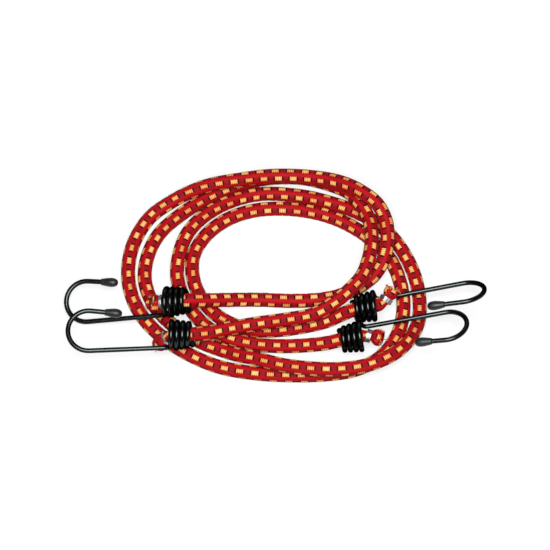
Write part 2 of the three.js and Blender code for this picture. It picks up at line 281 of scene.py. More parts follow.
# Jacket: braided polyester, red with rows of gold dashes between black ticks
jacket = {
    "radius": 3.96,  # mm, of the red ground; the gold stands proud of it
    "rows": 5,
    "pitch": 8.5,  # mm from one dash to the next
    "stagger": 0.2,  # of a pitch, from one row to the next
    "dashLength": 3.9,
    "tickLength": 0.8,
    "dashShare": 0.5,  # of a row's width
    "yarnPitch": 1.05,  # mm, one yarn of a dash; drawn coarser than the real 0.6 so that it shows
    "gold": ("#d17a22", "#ffd480"),  # deep and pale
    "red": ("#93030b", "#c30916"),
    "crimson": ("#830410", "#9f061c"),  # the red along a row
    "fringe": "#c9521a",  # round a dash
    "tick": "#120203",
    "dashEdge": {"inset": 0.12, "tooth": 0.16, "own": 0.06, "fibre": 0.1},  # of a row's width
    # how much of the yarns' waves shows over the fibres, in the colours and in the relief
    "waveShares": {"gold": -0.24, "red": 0.25, "floats": -0.35, "ground": 0.3},
    "ownShare": 0.36,  # of a dash's own tone
    "goldRange": (0.38, 0.98),  # tones that show deep and pale
    "redRange": (0.3, 0.85),
    "roughness": (0.68, 0.48),  # of the ground and of the gold
    "bump": (0.4, 0.12),  # strength, mm
    "goldRise": 0.08,
    "yarnRise": 0.02,
    "tickSink": 0.14,
    "braidRise": 0.05,
    "braidWaves": (20, 4),  # in relief, round the cord and along a pitch
    "plaitYarns": (40, 14),  # in colour, round the cord and along a pitch
    "sidesPerRow": 10,
    "ringsPerPitch": 17,
    "wall": 0.9,
    "firstRings": (0, 0.1, 0.25, 0.45, 0.7, 1.0, 1.4, 1.9, 2.4),  # mm from the cut, then even ones
    "bakeMap": {"strips": 6, "gap": 0.04, "width": 0.985, "plugAt": 0.993, "plugRadius": 0.004},
    "ragged": 0.25,
    "raggedRings": 2,  # to each side of the cut's edge
    "slantReach": 8,  # mm over which a slanted cut straightens out
    "seed": 5,
    "turns": {  # turn of the rows round the cord, at mm along it
        "cord_a": [(0, 0.15), (90, 0.15), (150, 0.19), (170, 0.25), (200, 0.31), (245, 0.31),
                   (285, 0.23), (310, 0.18), (360, 0.165), (390, 0.12), (430, 0.075), (460, 0.07),
                   (545, 0.1), (640, 0.085), (690, 0.08), (720, 0.03), (750, -0.04), (775, -0.11),
                   (820, -0.13), (890, -0.135)],
        "cord_b": [(0, -0.135), (7, -0.135), (17, 0.055), (90, 0.055), (145, 0.065), (175, 0.12),
                   (205, 0.215), (240, 0.265), (310, 0.235), (340, 0.185), (410, 0.255), (480, 0.28),
                   (520, 0.3), (570, 0.39), (600, 0.425), (640, 0.475), (690, 0.515), (720, 0.44),
                   (745, 0.4), (785, 0.3), (830, 0.29), (900, 0.285)],
    },
    "easing": 20,  # mm over which a turn is eased
}
rowHalf = jacket["dashShare"] / 2  # half a dash's width in its row, then half lengths in pitches
dashHalf = jacket["dashLength"] / jacket["pitch"] / 2
tickHalf = dashHalf + jacket["tickLength"] / jacket["pitch"]

# Cut ends, as (mm from the cut, radius): a ball, the waist under the crimp clip, then the neck
neck = [(10.2, 3.05), (11.3, 3.5), (12.6, 3.9), (14, 3.96)]
plainEnd = [(0, 3.0), (0.25, 3.75), (0.8, 4.35), (1.8, 4.75), (3.2, 4.8), (4.6, 4.35), (5.7, 3.6),
            (6.5, 3.05), (7.2, 2.85), (9.4, 2.85), *neck]
# This one bulges over the clip
spilledEnd = [(0, 3.0), (0.25, 3.75), (0.8, 4.4), (1.8, 4.9), (3.6, 5.0), (5.6, 4.8), (7.1, 4.35),
              (8.1, 3.75), (8.7, 3.2), (9.2, 2.85), (9.5, 2.85), *neck]
# How each end was cut: skew is how far the side towards the camera is cut back, in mm, and a ball that its
# hook swings close to is less full
cuts = {
    "cord_a_left": {"profile": spilledEnd, "fullness": 0.9, "skew": 5.2, "face": 14},
    "cord_a_right": {"profile": plainEnd, "fullness": 0.68, "skew": 1.5, "face": 0},
    "cord_b_left": {"profile": spilledEnd, "fullness": 0.74, "skew": 0, "face": 0},
    "cord_b_right": {"profile": plainEnd, "fullness": 1.0, "skew": 0.8, "face": -20},
}
# An outline is eased over so many steps in mm, and fullness scales the ball's mm from the cut
cutEasing = {"step": 0.05, "steps": 19, "ball": 9}
mouthRings = [(3.2, 1), (1.8, 1), (0.9, 1), (0.3, 0.85), (0.06, 0.45)]  # mm into the bore, share of wall


def jacketRelief(turn, along):
    row = turn * jacket["rows"]
    across = row % 1 - 0.5
    step = (along + np.floor(row) * jacket["stagger"]) % 1 - 0.5
    rowSoft, dashSoft, tickSoft = 0.1, 0.04, 0.03  # over which each rises
    inRow = np.clip((rowHalf + rowSoft / 2 - np.abs(across)) / rowSoft, 0, 1)
    inDash = np.clip((dashHalf - np.abs(step)) / dashSoft, 0, 1)
    inTick = np.clip((tickHalf - np.abs(step)) / tickSoft, 0, 1) - inDash
    crown = 1 - (2 * across) ** 2
    yarns = np.cos(2 * np.pi * step * jacket["pitch"] / jacket["yarnPitch"])
    waveTurn, waveAlong = (2 * np.pi * n * v for n, v in zip(jacket["braidWaves"], (turn, along)))
    braid = np.cos(waveAlong + waveTurn) * np.cos(waveAlong - waveTurn)
    gold = jacket["goldRise"] * (0.5 + 0.5 * crown) + jacket["yarnRise"] * yarns
    ground = jacket["braidRise"] * braid
    return (1 - inRow * inDash) * ground + inRow * (inDash * gold - inTick * jacket["tickSink"])


def cordRadius(name, distance, length):
    table = np.arange(-2, 20, cutEasing["step"])  # mm from the cut
    radius = []
    for end, fromEnd in (("left", distance), ("right", length - distance)):
        cut = cuts[name + "_" + end]
        marks, radii = np.array(cut["profile"]).T
        waist = radii.min()
        radii = np.where(marks < cutEasing["ball"], waist + (radii - waist) * cut["fullness"], radii)
        outline = eased(np.interp(table, marks, radii), cutEasing["steps"])
        radius.append(np.interp(fromEnd / mm, table, outline) * mm)
    return np.where(distance < length / 2, *radius)


# Places of the rings along a cord: close together at the cut ends
def ringPlaces(length):
    start = np.array(jacket["firstRings"]) * mm
    count = int(round(length / (jacket["pitch"] * mm) * jacket["ringsPerPitch"]))
    middle = np.linspace(start[-1], length - start[-1], count)
    return np.concatenate([start[:-1], middle, length - start[-2::-1]])


def rowTurn(name, distance):
    marks, turns = np.array(jacket["turns"][name]).T
    table = np.arange(-60, 960, 1.0)  # every mm, and past both ends
    return np.interp(distance / mm, table, eased(np.interp(table, marks, turns), jacket["easing"]))


def facingAngle(side, rise):  # turn round the cord that faces the camera
    toCamera = towards(photo["elevation"])
    return math.atan2(rise @ toCamera, side @ toCamera)


def endFrame(line, atStart):  # the cut's centre, its side and rise, and the way out
    centre, side, rise = (v[0] for v in line.frames(np.array([0 if atStart else line.length])))
    return centre, side, rise, np.cross(side, rise) * (1 if atStart else -1)


# Where the rings of a cut end lie once it is cut aslant
def slant(name, line, distance, angle):
    place = np.repeat(distance[:, None], angle.shape[1], 1)
    for end, fromEnd, sign in (("left", distance, 1), ("right", line.length - distance, -1)):
        cut = cuts[name + "_" + end]
        _, side, rise, _ = endFrame(line, end == "left")
        face = facingAngle(side, rise) + math.radians(cut["face"])
        fade = np.clip(1 - fromEnd / (jacket["slantReach"] * mm), 0, 1)
        place += sign * cut["skew"] * mm * fade[:, None] * (0.5 + 0.5 * np.cos(angle - face))
    return place


def makeSleeve(name, line, material):
    sides = jacket["rows"] * jacket["sidesPerRow"]
    depth, share = np.array(mouthRings).T
    outside = ringPlaces(line.length)
    distance = np.concatenate([depth * mm, outside, line.length - depth[::-1] * mm])
    wall = np.concatenate([share, np.zeros(len(outside)), share[::-1]]) * jacket["wall"] * mm
    turn = np.arange(sides) / sides
    angle = 2 * np.pi * (turn + rowTurn(name, distance)[:, None])
    place = slant(name, line, distance, angle)
    ragged = np.random.default_rng(jacket["seed"]).uniform(-1, 1, (2, sides)) * jacket["ragged"] * mm
    first = len(depth)
    for k in range(-jacket["raggedRings"], jacket["raggedRings"] + 1):
        place[first + k] += ragged[0]
        place[len(place) - 1 - first - k] += ragged[1]
    along = place / (jacket["pitch"] * mm)
    relief = jacketRelief(turn, along) * mm
    relief[wall > 0] = 0
    radius = (cordRadius(name, distance, line.length) - wall)[:, None] + relief
    centre, side, rise = line.frames(place)
    rings = centre + radius[..., None] * around(angle, side, rise)
    rings[..., 2] = np.maximum(rings[..., 2], 0)
    sleeve = smoothPiece(name + "_jacket", rings, closedFaces(len(rings), sides), material)
    addMaps(sleeve.data, along)
    return sleeve


# In the map of the braid, U is the turn round the cord and V the distance along it, in pitches. The
# other map, for baking, is the jacket unrolled, in strips side by side, with its end faces as
# two small plugs
def addMaps(mesh, along):
    strips, gap, width, plugAt, plugRadius = jacket["bakeMap"].values()
    rings, sides = along.shape
    perStrip = math.ceil((rings - 1) / strips)
    quad = np.arange((rings - 1) * sides)[:, None]
    strip = quad // sides // perStrip
    ring, column = quad // sides + np.array([0, 1, 1, 0]), quad % sides + np.array([0, 0, 1, 1])
    turn = np.arange(sides) / sides
    u = (ring - strip * perStrip) / perStrip * width
    v = (strip + gap + (1 - 2 * gap) * column / sides) / strips
    circle = np.stack([np.cos(2 * np.pi * turn), np.sin(2 * np.pi * turn)], axis=1) * plugRadius
    for name, walls, ends in (
            ("braid", (column / sides, along[ring, column % sides]),
             (np.stack([turn, along[0]], axis=1), np.stack([turn, along[-1]], axis=1)[::-1])),
            ("OFBake", (u, v), [circle + (plugAt, middle) for middle in (0.25, 0.75)])):
        corners = np.concatenate([np.stack(walls, axis=-1).reshape(-1, 2), *ends])
        mesh.uv_layers.new(name=name).uv.foreach_set("vector", corners.ravel())


# Braided polyester yarn: smoother gold floats, a plaited red ground, black ticks sunk between
def braidedPolyester():
    material, tree = newMaterial("braidedPolyester")
    circumference = 2 * math.pi * jacket["radius"]  # mm
    uv = addNode(tree, "ShaderNodeUVMap", uv_map="braid")
    turn, along = addNode(tree, "ShaderNodeSeparateXYZ", [uv]).node.outputs[:2]
    row = addNode(tree, "ShaderNodeMath", [turn, float(jacket["rows"])], operation="MULTIPLY")
    rowNumber = addNode(tree, "ShaderNodeMath", [row], operation="FLOOR")
    shifted = addNode(tree, "ShaderNodeMath", [rowNumber, jacket["stagger"], along],
                      operation="MULTIPLY_ADD")
    dashNumber = addNode(tree, "ShaderNodeMath", [shifted], operation="FLOOR")

    # places from the middle of a row and of a dash, and how far off it they are
    places = []
    for value in (row, shifted):
        within = addNode(tree, "ShaderNodeMath", [value], operation="FRACT")
        place = addNode(tree, "ShaderNodeMath", [within, 0.5], operation="SUBTRACT")
        places.append((place, addNode(tree, "ShaderNodeMath", [place], operation="ABSOLUTE")))
    (_, acrossOff), (step, stepOff) = places

    # fine fibres, and each dash a little paler and wider or darker and narrower than the next
    dashName = addNode(tree, "ShaderNodeCombineXYZ", [rowNumber, dashNumber])
    ownTone = addNode(tree, "ShaderNodeTexWhiteNoise", {"Vector": dashName}, noise_dimensions="3D")
    unrolled = addNode(tree, "ShaderNodeVectorMath", {0: uv, 1: (circumference, jacket["pitch"], 1)},
                       operation="MULTIPLY")
    fibres = addNode(tree, "ShaderNodeTexNoise",
                     {"Vector": unrolled, "Scale": 3.0, "Detail": 3.0, "Roughness": 0.6})
    blotches = addNode(tree, "ShaderNodeTexNoise", {"Vector": unrolled, "Scale": 0.3, "Detail": 2.0})

    # the yarns of a dash end in uneven teeth
    yarn = addNode(tree, "ShaderNodeMath", [step, jacket["pitch"] / jacket["yarnPitch"]],
                   operation="MULTIPLY")
    tooth = addNode(tree, "ShaderNodeMath", [yarn, 0.5], operation="PINGPONG")
    edge = rowHalf - jacket["dashEdge"]["inset"]
    for part, share in ((tooth, "tooth"), (ownTone, "own"), (fibres, "fibre")):
        edge = addNode(tree, "ShaderNodeMath", [part, jacket["dashEdge"][share], edge],
                       operation="MULTIPLY_ADD")
    overEdge = addNode(tree, "ShaderNodeMath", [edge, acrossOff], operation="SUBTRACT")

    # soft edges, each from one value to another between two places
    ramps = {
        "dashAcross": [overEdge, -0.02, 0.05, 0.0, 1.0],
        "dashAlong": [stepOff, dashHalf - 0.008, dashHalf + 0.008, 1.0, 0.0],
        "sideFringe": [overEdge, -0.02, 0.17, 1.0, 0.0],
        "endFringe": [stepOff, dashHalf - 0.085, dashHalf + 0.01, 0.0, 0.8],
        "row": [acrossOff, rowHalf - 0.02, rowHalf + 0.12, 1.0, 0.0],
        "tickAcross": [acrossOff, rowHalf - 0.03, rowHalf + 0.05, 1.0, 0.0],
        "tickEnd": [stepOff, tickHalf - 0.015, tickHalf + 0.025, 1.0, 0.0],
    }
    soft = {name: addNode(tree, "ShaderNodeMapRange", inputs, interpolation_type="SMOOTHSTEP")
            for name, inputs in ramps.items()}
    for name, one, other, operation in (("gold", "dashAcross", "dashAlong", "MULTIPLY"),
                                        ("fringe", "sideFringe", "endFringe", "MAXIMUM"),
                                        ("inTick", "tickEnd", "dashAlong", "SUBTRACT"),
                                        ("tick", "inTick", "tickAcross", "MULTIPLY")):
        soft[name] = addNode(tree, "ShaderNodeMath", [soft[one], soft[other]], operation=operation)

    # the red ground is plaited from yarns 0.6 mm wide, which run both ways round
    turns = [addNode(tree, "ShaderNodeMath", [place, 2 * math.pi * count], operation="MULTIPLY")
             for place, count in zip((turn, along), jacket["plaitYarns"])]
    ways = [addNode(tree, "ShaderNodeMath", turns, operation=way) for way in ("ADD", "SUBTRACT")]
    yarns = [addNode(tree, "ShaderNodeMath", [way], operation="SINE") for way in ways]
    plait = addNode(tree, "ShaderNodeMath", yarns, operation="MAXIMUM")
    yarnTurn = addNode(tree, "ShaderNodeMath", [yarn, 2 * math.pi], operation="MULTIPLY")
    yarnWave = addNode(tree, "ShaderNodeMath", [yarnTurn], operation="COSINE")

    # the yarns' waves over the fibres, for the colours and for the relief
    waves = {}
    for name, wave in (("gold", yarnWave), ("red", plait), ("floats", yarnWave), ("ground", plait)):
        waves[name] = addNode(tree, "ShaderNodeMath", [wave, jacket["waveShares"][name], fibres],
                              operation="MULTIPLY_ADD")

    # colours of the yarns, then one laid over the other
    goldTone = addNode(tree, "ShaderNodeMath", [ownTone, jacket["ownShare"], waves["gold"]],
                       operation="MULTIPLY_ADD")
    tones = {"gold": addNode(tree, "ShaderNodeMapRange", [goldTone, *jacket["goldRange"], 0.0, 1.0]),
             "red": addNode(tree, "ShaderNodeMapRange", [waves["red"], *jacket["redRange"], 0.0, 1.0]),
             "crimson": blotches}
    tints = {}
    for tint, tone in tones.items():
        deep, pale = map(linear, jacket[tint])
        tints[tint] = addNode(tree, "ShaderNodeMix", {0: tone, 6: deep, 7: pale}, out=2, data_type="RGBA")
    fringed = {0: soft["fringe"], 6: tints["gold"], 7: linear(jacket["fringe"])}
    layers = {"row": tints["crimson"], "tick": linear(jacket["tick"]),
              "gold": addNode(tree, "ShaderNodeMix", fringed, out=2, data_type="RGBA")}
    colour = tints["red"]
    for name, over in layers.items():
        laid = {0: soft[name], 6: colour, 7: over}
        colour = addNode(tree, "ShaderNodeMix", laid, out=2, data_type="RGBA")

    roughness = addNode(tree, "ShaderNodeMapRange", [soft["gold"], 0.0, 1.0, *jacket["roughness"]])
    height = addNode(tree, "ShaderNodeMix", {0: soft["gold"], 2: waves["ground"], 3: waves["floats"]},
                     data_type="FLOAT")
    strength, depth = jacket["bump"]
    bump = addNode(tree, "ShaderNodeBump", {"Strength": strength, "Distance": depth * mm, "Height": height})
    shader = addNode(tree, "ShaderNodeBsdfPrincipled", {
        "Base Color": colour, "Roughness": roughness, "Normal": bump, "IOR": 1.45,
        "Specular IOR Level": 0.18})
    addNode(tree, "ShaderNodeOutputMaterial", {"Surface": shader})
    return material


jacketMaterial = braidedPolyester()
sleeves = {}
for cordName, line in cordLines.items():
    sleeve = sleeves[cordName] = makeSleeve(cordName, line, jacketMaterial)
    print(sleeve.name, len(sleeve.data.polygons), "faces")


# Hooks: one wire each, wound as a conical coil round the cord, then a shank, a bow and a tip arm
hookWire = {
    "diameter": 2.6,
    "coilTurns": 4,
    "coilGap": 0.5,
    "coilClearance": 0.6,
    "coilWideBore": 12.8,
    "coilSeat": 6.5 + 3.6 + 0.4 + 1.3,  # stub, waist, gap and half the wire
    "coilBend": 3.2,
    "bowRadius": 11.4,
    "bowLean": 8,
    "tipInCap": 6.2,
    "step": 0.5,  # mm between points of the path
    "easing": 7,  # points over which a bend is eased
    "sides": 20,
    "coilSwell": 1.18,  # the lacquer is thicker where the turns lie close
    "bowSwell": 1.06,  # and on the bow
    "bowFrom": (16, 30),  # mm along the shank
    "pathSteps": {"coil": 400, "corner": 12, "bow": 60},
    # lacquered black steel: glossy, with a faint orange peel, and dark out to its edges
    "finish": {"colours": ("#303433", "#3a3e3d"), "speckle": (0.12, 3.0), "roughness": (0.18, 0.26),
               "grain": (0.5, 2.0), "relief": (0.1, 0.05),
               "shader": {"Metallic": 1.0, "Specular Tint": linear("#2b2b2b")}},
    "lays": {  # shank, arm and slack along the cord in mm, roll and droop in degrees
        "cord_a_left": (41.5, 7.5, 0, 22, 3),
        "cord_a_right": (46.5, 10.5, 3, 34, 2),
        "cord_b_left": (42, 8, 0, 16, -5),
        "cord_b_right": (44, 7.5, 0, 19, 0),
    },
}
coilLength = hookWire["coilTurns"] * (hookWire["diameter"] + hookWire["coilGap"])  # mm


def hookFrame(line, atStart, slack, roll, droop):
    seat = (hookWire["coilSeat"] + slack) * mm
    ends = np.array([seat + coilLength * mm, seat])
    narrow, wide = (Vector(p) for p in line.at(ends if atStart else line.length - ends))
    up = Vector((0, 0, 1))
    axis = (wide - narrow).normalized()
    across = -up.cross(axis).normalized()
    axis = Matrix.Rotation(math.radians(-droop), 3, across) @ axis
    level = -up.cross(axis).normalized()
    tip = Matrix.Rotation(math.radians(-roll), 3, axis) @ level
    place = Matrix((axis, tip, axis.cross(tip))).transposed().to_4x4()
    place.translation = narrow + axis * coilLength * mm
    return place


def hookPath(shank, arm):  # along +X from the coil's wide end, in mm, with the tip on the +Y side
    wireRadius = hookWire["diameter"] / 2
    narrowRadius = bundle["diameter"] / 2 + hookWire["coilClearance"] + wireRadius
    wideRadius = hookWire["coilWideBore"] / 2 + wireRadius
    bend = hookWire["coilBend"]
    bendAngle = math.asin(bend / wideRadius)
    shankY = -wideRadius * math.cos(bendAngle)
    steps = hookWire["pathSteps"]
    share = np.linspace(0, 1, steps["coil"])
    angle = bendAngle + (1 - share) * hookWire["coilTurns"] * 2 * np.pi
    radius = narrowRadius + share * (wideRadius - narrowRadius)
    coil = np.stack([(share - 1) * coilLength, -radius * np.cos(angle), -radius * np.sin(angle)], axis=1)
    turned = np.linspace(0, np.pi / 2, steps["corner"])
    corner = np.stack([bend * (1 - np.cos(turned)), 0 * turned + shankY, bend * (np.sin(turned) - 1)],
                      axis=1)
    bowX = bend + shank
    sweep = np.radians(np.linspace(-90, 90 + hookWire["bowLean"], steps["bow"]))
    bow = np.stack([bowX + hookWire["bowRadius"] * np.cos(sweep),
                    shankY + hookWire["bowRadius"] * (1 + np.sin(sweep)), 0 * sweep], axis=1)
    lean = math.radians(180 + hookWire["bowLean"])
    armDirection = np.array([math.cos(lean), math.sin(lean), 0])
    capStart = bow[-1] + armDirection * arm
    tip = capStart + armDirection * hookWire["tipInCap"]
    return evenPath(np.vstack([coil, corner[1:], bow, tip])), capStart, armDirection


def evenPath(points):
    lengths = lengthsTo(points)
    marks = np.linspace(0, lengths[-1], int(lengths[-1] / hookWire["step"]) + 1)
    even = np.stack([np.interp(marks, lengths, c) for c in points.T], axis=1)
    path = np.stack([eased(c, hookWire["easing"]) for c in even.T], axis=1)
    path[[0, -1]] = even[[0, -1]]
    return path


# Sweeps a round wire along a curve
def wireTree():
    tree, identifiers, given = newTree("wireSweep", {
        "Path": "Geometry", "Wire radius": "Float", "Sides": "Int", "Finish": "Material"}, "Wire")
    profile = addNode(tree, "GeometryNodeCurvePrimitiveCircle",
                      {"Resolution": given["Sides"], "Radius": given["Wire radius"]})
    swell = addNode(tree, "GeometryNodeInputRadius")
    swept = addNode(tree, "GeometryNodeCurveToMesh",
                    {"Curve": given["Path"], "Profile Curve": profile, "Scale": swell, "Fill Caps": True})
    smooth = addNode(tree, "GeometryNodeSetShadeSmooth", {"Geometry": swept})
    closeTree(tree, smooth, given["Finish"], "Wire")
    return tree, identifiers


def sweepWire(name, points, swell, radius, sides, material):
    curve = bpy.data.curves.new(name + "Path", "CURVE")
    curve.dimensions = "3D"
    spline = curve.splines.new("POLY")
    spline.points.add(len(points) - 1)
    spline.points.foreach_set("co", np.hstack([points, np.ones((len(points), 1))]).ravel())
    spline.points.foreach_set("radius", swell)
    return bakedNodes(name, curve, *wireNodes,
                      {"Wire radius": radius * mm, "Sides": sides, "Finish": material})


# Tip caps: soft dipped vinyl, droplet-shaped, pushed over the wire's end
tipCap = {
    "profile": [(1.42, 5.6), (1.42, 0.2), (1.5, 0.02), (1.66, -0.02), (1.8, 0.1), (1.88, 0.5), (2.05, 1.6),
                (2.34, 3.2), (2.54, 4.7), (2.6, 5.8), (2.52, 6.9), (2.28, 7.9), (1.88, 8.7), (1.32, 9.25),
                (0.62, 9.54), (0, 9.6)],  # radius and place along the cap, in mm
    "sides": 32,
    # dipped vinyl: a matte dark grey skin with a fine grain and scuffs
    "finish": {"colours": ("#0d0f10", "#1b1e1f"), "speckle": (0.35, 5.0), "roughness": (0.36, 0.52),
               "grain": (4, 4.0), "relief": (0.25, 0.05), "shader": {"IOR": 1.5}},
}


def makeCap(name, place, capStart, armDirection, material):
    sides = tipCap["sides"]
    *rings, (_, height) = tipCap["profile"]
    points = np.vstack([lathe(rings, sides).reshape(-1, 3), [0, 0, height]])
    last, tip = (len(rings) - 1) * sides, len(rings) * sides
    faces = gridFaces(len(rings), sides)[:, ::-1].tolist()
    faces += [[last + k, last + (k + 1) % sides, tip] for k in range(sides)] + [list(range(sides))]
    cap = smoothPiece(name, points * mm, faces, material)
    turn = Vector(armDirection).to_track_quat("Z", "Y").to_matrix().to_4x4()
    cap.data.transform(place @ Matrix.Translation(Vector(capStart) * mm) @ turn)
    return cap


wireMaterial = speckledFinish("blackLacqueredSteel", hookWire["finish"])
vinylMaterial = speckledFinish("dippedVinyl", tipCap["finish"])
wireNodes = wireTree()
hooks, caps = {}, {}
for hookName, line, atStart in cordEnds:
    shank, arm, *lay = hookWire["lays"][hookName]
    place = hookFrame(line, atStart, *lay)
    path, capStart, armDirection = hookPath(shank, arm)
    points = path * mm @ np.array(place.to_3x3()).T + np.array(place.translation)
    swell = np.interp(path[:, 0], [-1, 1, *hookWire["bowFrom"]],
                      [hookWire["coilSwell"], 1, 1, hookWire["bowSwell"]])
    hooks[hookName] = sweepWire(hookName + "_wire", points, swell, hookWire["diameter"] / 2,
                                hookWire["sides"], wireMaterial)
    caps[hookName] = makeCap(hookName + "_cap", place, capStart, armDirection, vinylMaterial)
    print(hookName, len(hooks[hookName].data.polygons), "faces of wire")


# Crimp clips: a steel strip wound a little over one turn round the cord's waist
crimpClip = {
    "width": 2.8,
    "thickness": 0.55,
    "bore": 3.15,  # radius
    "lap": 50,  # degrees by which the ends lap
    "lapRise": 0.1,  # share of the strip over which its end climbs the lap
    "lapGap": 0.04,
    "edge": 0.18,  # radius of the strip's edges
    "edgeSteps": 4,
    "steps": 96,
    "dent": 0.12,
    "dents": 6,
    "waist": (6.5, 10.1),  # mm from the cut end
    "groove": 0.16,  # pressed in along the middle of the strip
    "grooveReach": 0.3,  # of the width, to each side
    "grooveSteps": 5,
    "tilts": {"cord_a_left": 0, "cord_a_right": 14, "cord_b_left": 0, "cord_b_right": -14},  # degrees
    # zinc-plated strip steel: bright, with a fine grain and pale dull patches
    "finish": {"colours": ("#8f9493", "#c2c6c2"), "speckle": (0.5, 4.0), "roughness": (0.34, 0.52),
               "grain": (5, 3.0), "relief": (0.2, 0.03), "shader": {"Metallic": 1.0}},
}


def makeClip(name, line, atStart, material):
    waist = np.array(crimpClip["waist"]) * mm
    near, far = (Vector(p) for p in line.at(waist if atStart else line.length - waist))
    share = np.linspace(0, 1, crimpClip["steps"])
    sweep = np.radians((360 + crimpClip["lap"]) * share)
    lapStart = 360 / (360 + crimpClip["lap"])
    over = np.clip((share - lapStart) / crimpClip["lapRise"] + 1, 0, 1)
    rise = over ** 2 * (3 - 2 * over) * (crimpClip["thickness"] + crimpClip["lapGap"])
    radius = crimpClip["bore"] + rise - crimpClip["dent"] * (0.5 + 0.5 * np.cos(sweep * crimpClip["dents"]))
    half, thick, edge = crimpClip["width"] / 2, crimpClip["thickness"], crimpClip["edge"]
    section = []  # radial and axial place round the strip
    for radial, axial, turned in ((thick - edge, half - edge, 0), (edge, half - edge, 90),
                                  (edge, edge - half, 180), (thick - edge, edge - half, 270)):
        corner = np.radians(np.linspace(turned, turned + 90, crimpClip["edgeSteps"]))
        section.append(np.stack([radial + edge * np.cos(corner), axial + edge * np.sin(corner)], axis=1))
    share = np.linspace(-1, 1, crimpClip["grooveSteps"])
    groove = thick - crimpClip["groove"] * (0.5 + 0.5 * np.cos(np.pi * share))
    ribs = share * crimpClip["grooveReach"] * crimpClip["width"]
    section = np.vstack([*section, np.stack([groove, ribs], axis=1)])
    sweep, reach = sweep[:, None], radius[:, None] + section[:, 0]
    points = np.stack([reach * np.cos(sweep), reach * np.sin(sweep), 0 * sweep + section[:, 1]], axis=-1)
    clip = smoothPiece(name + "_clip", points * mm, closedFaces(len(points), len(section)), material)
    tilt = math.radians(crimpClip["tilts"][name])
    along = Matrix.Rotation(tilt, 3, Vector(towards(photo["elevation"]))) @ (far - near)
    turn = along.to_track_quat("Z", "Y").to_matrix().to_4x4()
    clip.data.transform(Matrix.Translation((near + far) / 2) @ turn)
    return clip


zincMaterial = speckledFinish("zincPlatedSteel", crimpClip["finish"])
clips = {end[0]: makeClip(*end, zincMaterial) for end in cordEnds}
print("clips:", len(clips))


# Cut ends: rubber strands in the mouth of the jacket, and loose yarns round it
cutStrands = {
    "radius": 0.46,
    "spacing": 0.98,
    "bundleRadius": 2.25,
    "length": 3.4,
    "depth": 1.1,  # mm from the cut to the strands' ends
    "uneven": 0.5,
    "sides": 8,
    "chamfer": (0.8, 0.1),  # share of the radius at the strand's end, mm along it
    "coreRadius": 2.3,
    "coreInset": 3.6,  # mm from the cut
    "coreSides": 12,
    "coreStep": 3,
    "seed": 11,
    # cut rubber: dark, dull and a little dusty
    "finish": {"colours": ("#17110d", "#3a2d22"), "speckle": (1.5, 4.0), "roughness": (0.6, 0.8),
               "grain": (1.5, 4.0), "relief": (0.2, 0.05), "shader": {"IOR": 1.5}},
}
looseYarn = {
    "length": 2.2,
    "radius": 0.21,
    "curl": 90,  # degrees
    "taper": 0.6,
    # depth, least, along and sink are in mm: a yarn of the rim stands up, one of a tangle lies close
    "rim": {"depth": 0.5, "sink": 0.05, "lift": 0.9},
    "tangle": {"least": 0.2, "along": 0.8, "sink": 0.4, "lift": -0.05},
    "stray": 0.45,  # of a yarn's direction, any way
    "outward": (0.1, 0.5),  # and out of the cut
    "rings": 7,
    "sides": 5,
    "sizes": (0.6, 1.1),  # least and most
    "seed": 23,
    # for each end and colour: yarns round the mouth, then tangles on the ball, as
    # (mm from the cut, degrees from the camera's side, count, degrees of spread)
    "ends": {
        "cord_a_left": {"gold": (8, [(3.0, -8, 14, 14), (4.4, -36, 22, 11)]),
                        "red": (18, [(3.0, 30, 10, 40)])},
        "cord_a_right": {"gold": (10, [(1.8, 5, 22, 34), (3.2, 40, 8, 24)]),
                         "red": (20, [(2.0, 0, 12, 60)])},
        "cord_b_left": {"gold": (0, []), "red": (0, [(1.2, 0, 6, 50)])},
        "cord_b_right": {"gold": (3, [(2.6, -30, 4, 14)]), "red": (14, [(1.4, 0, 8, 70)])},
    },
    # loose polyester: the jacket's own yarn, combed out into paler and darker fibres
    "finish": {"speckle": (4, 3.0), "spread": (0.3, 0.7), "roughness": (0.45, 0.65), "grain": (4, 3.0),
               "relief": (0.3, 0.05), "shader": {"IOR": 1.45, "Specular IOR Level": 0.3}},
}


# Sets a shape on each point, along the point's own direction, with a random spin and size
def scatterTree():
    tree, identifiers, given = newTree("scatterAlong", {
        "Points": "Geometry", "Shape": "Object", "Least size": "Float", "Most size": "Float", "Seed": "Int",
        "Finish": "Material"}, "Scattered")
    shape = addNode(tree, "GeometryNodeObjectInfo", {"Object": given["Shape"]}, out="Geometry")
    direction = addNode(tree, "GeometryNodeInputNamedAttribute", ["direction"], data_type="FLOAT_VECTOR")
    aimed = addNode(tree, "FunctionNodeAlignRotationToVector", {"Vector": direction}, axis="Z")
    angle = addNode(tree, "FunctionNodeRandomValue", {2: 0.0, 3: 2 * math.pi, "Seed": given["Seed"]}, out=1)
    spin = addNode(tree, "FunctionNodeAxisAngleToRotation", {"Axis": (0, 0, 1), "Angle": angle})
    turned = addNode(tree, "FunctionNodeRotateRotation", [aimed, spin], rotation_space="LOCAL")
    size = addNode(tree, "FunctionNodeRandomValue",
                   {2: given["Least size"], 3: given["Most size"], "Seed": given["Seed"]}, out=1)
    placed = addNode(tree, "GeometryNodeInstanceOnPoints",
                     {"Points": given["Points"], "Instance": shape, "Rotation": turned, "Scale": size})
    closeTree(tree, placed, given["Finish"], "Scattered")
    return tree, identifiers


